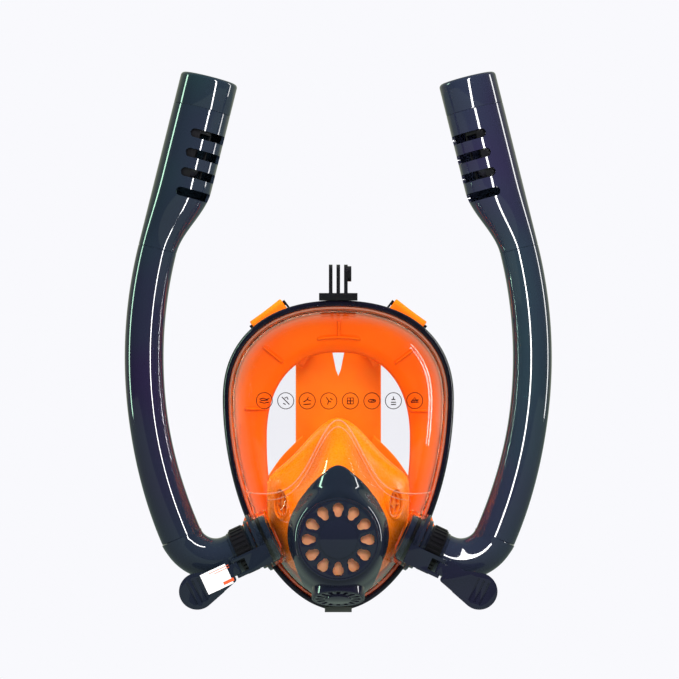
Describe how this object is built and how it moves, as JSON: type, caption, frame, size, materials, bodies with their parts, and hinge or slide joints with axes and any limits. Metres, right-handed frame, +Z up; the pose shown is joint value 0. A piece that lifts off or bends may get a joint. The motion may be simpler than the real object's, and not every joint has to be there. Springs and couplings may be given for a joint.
{
  "type": "full face snorkel",
  "caption": "Full face snorkel mask with a clear lens, silicone skirt and pocket, nose cover, camera mount, head harness and a swivelling float-valve snorkel on each side.",
  "frame": {"origin": "middle of the face seal, where the wearer's face meets the skirt", "axes": "+Z up as worn, -Y the way the wearer looks, +X to the right of someone facing the mask"},
  "size_m": [0.345, 0.1781, 0.4383],
  "materials": {
    "clear_lens": "clear moulded polycarbonate",
    "rim_black": "gloss ABS",
    "orange_silicone": "moulded silicone",
    "harness_orange": "moulded silicone",
    "black_gloss": "high gloss ABS",
    "black_satin": "satin ABS",
    "inner_black": "plain ABS",
    "valve_silicone": "thin silicone",
    "seal_rubber": "nitrile",
    "steel": "stainless",
    "chin_grey": "satin nylon",
    "float_white": "polypropylene",
    "label_white": "vinyl sticker"
  },
  "bodies": {
    "mask": {"lens": "clear_lens", "frame": "rim_black", "skirt": "orange_silicone", "nose_pocket": "orange_silicone", "nose_cover": "black_gloss", "front_grille": "black_gloss", "exhaust_seat": "inner_black", "drain_grille": "black_gloss", "drain_seat": "inner_black", "inhale_seat_left": "inner_black", "inhale_seat_right": "inner_black", "camera_mount": "black_satin", "camera_nut": "steel", "chin_clip": "chin_grey", "strap_bar_left": "rim_black", "strap_bar_right": "rim_black", "harness_pad": "harness_orange", "upper_arm_left": "harness_orange", "upper_arm_right": "harness_orange", "lower_arm_left": "harness_orange", "lower_arm_right": "harness_orange", "socket_left": "clear_lens", "socket_right": "clear_lens", "clip_base_left": "black_satin", "clip_base_right": "black_satin", "clip_pin_left": "steel", "clip_pin_right": "steel"},
    "exhaust_flap": {"exhaust_flap": "valve_silicone"},
    "drain_flap": {"drain_flap": "valve_silicone"},
    "snorkel_left": {"connector_left": "black_gloss", "socket_seal_left": "seal_rubber", "elbow_left": "black_gloss", "tube_left": "black_gloss", "head_left": "black_gloss", "head_cap_left": "black_gloss", "float_cage_left": "inner_black", "float_seat_left": "inner_black"},
    "collar_left": {"lock_collar_left": "black_satin"},
    "float_left": {"float_ball_left": "float_white"},
    "clip_left": {"strap_clip_left": "black_satin", "clip_label": "label_white"},
    "inhale_flap_left": {"inhale_flap_left": "valve_silicone"},
    "snorkel_right": {"connector_right": "black_gloss", "socket_seal_right": "seal_rubber", "elbow_right": "black_gloss", "tube_right": "black_gloss", "head_right": "black_gloss", "head_cap_right": "black_gloss", "float_cage_right": "inner_black", "float_seat_right": "inner_black"},
    "collar_right": {"lock_collar_right": "black_satin"},
    "float_right": {"float_ball_right": "float_white"},
    "clip_right": {"strap_clip_right": "black_satin"},
    "inhale_flap_right": {"inhale_flap_right": "valve_silicone"}
  },
  "joints": [
    {"name": "snorkel_swivel_left", "type": "hinge", "parent": "mask", "child": "snorkel_left", "pos_m": [-0.0653, -0.058, -0.07008], "axis": [-0.9063, 0, -0.4226], "range_deg": [-8, 35]},
    {"name": "collar_turn_left", "type": "hinge", "parent": "snorkel_left", "child": "collar_left", "pos_m": [-0.07526, -0.058, -0.07473], "axis": [-0.9063, 0, -0.4226], "range_deg": [0, 45]},
    {"name": "float_rise_left", "type": "slide", "parent": "snorkel_left", "child": "float_left", "axis": [0.2419, 0, 0.9703], "range_m": [0, 0.026]},
    {"name": "clip_swing_left", "type": "hinge", "parent": "mask", "child": "clip_left", "pos_m": [-0.08118, -0.0834, -0.08808], "axis": [-0.4226, 0, 0.9063], "range_deg": [0, 60]},
    {"name": "inhale_lift_left", "type": "slide", "parent": "mask", "child": "inhale_flap_left", "axis": [0.8829, 0.4695, 0], "range_m": [0, 0.0012], "stiffness_N_per_m": 40},
    {"name": "snorkel_swivel_right", "type": "hinge", "parent": "mask", "child": "snorkel_right", "pos_m": [0.0653, -0.058, -0.07008], "axis": [-0.9063, 0, 0.4226], "range_deg": [-8, 35]},
    {"name": "collar_turn_right", "type": "hinge", "parent": "snorkel_right", "child": "collar_right", "pos_m": [0.07526, -0.058, -0.07473], "axis": [0.9063, 0, -0.4226], "range_deg": [0, 45]},
    {"name": "float_rise_right", "type": "slide", "parent": "snorkel_right", "child": "float_right", "axis": [-0.2419, 0, 0.9703], "range_m": [0, 0.026]},
    {"name": "clip_swing_right", "type": "hinge", "parent": "mask", "child": "clip_right", "pos_m": [0.08118, -0.0834, -0.08808], "axis": [-0.4226, 0, -0.9063], "range_deg": [0, 60]},
    {"name": "inhale_lift_right", "type": "slide", "parent": "mask", "child": "inhale_flap_right", "axis": [-0.8829, 0.4695, 0], "range_m": [0, 0.0012], "stiffness_N_per_m": 40},
    {"name": "exhaust_lift", "type": "slide", "parent": "mask", "child": "exhaust_flap", "axis": [0, -1, 0], "range_m": [0, 0.0016], "stiffness_N_per_m": 60},
    {"name": "drain_lift", "type": "slide", "parent": "mask", "child": "drain_flap", "axis": [0, -0.3746, -0.9272], "range_m": [0, 0.0012], "stiffness_N_per_m": 60}
  ]
}
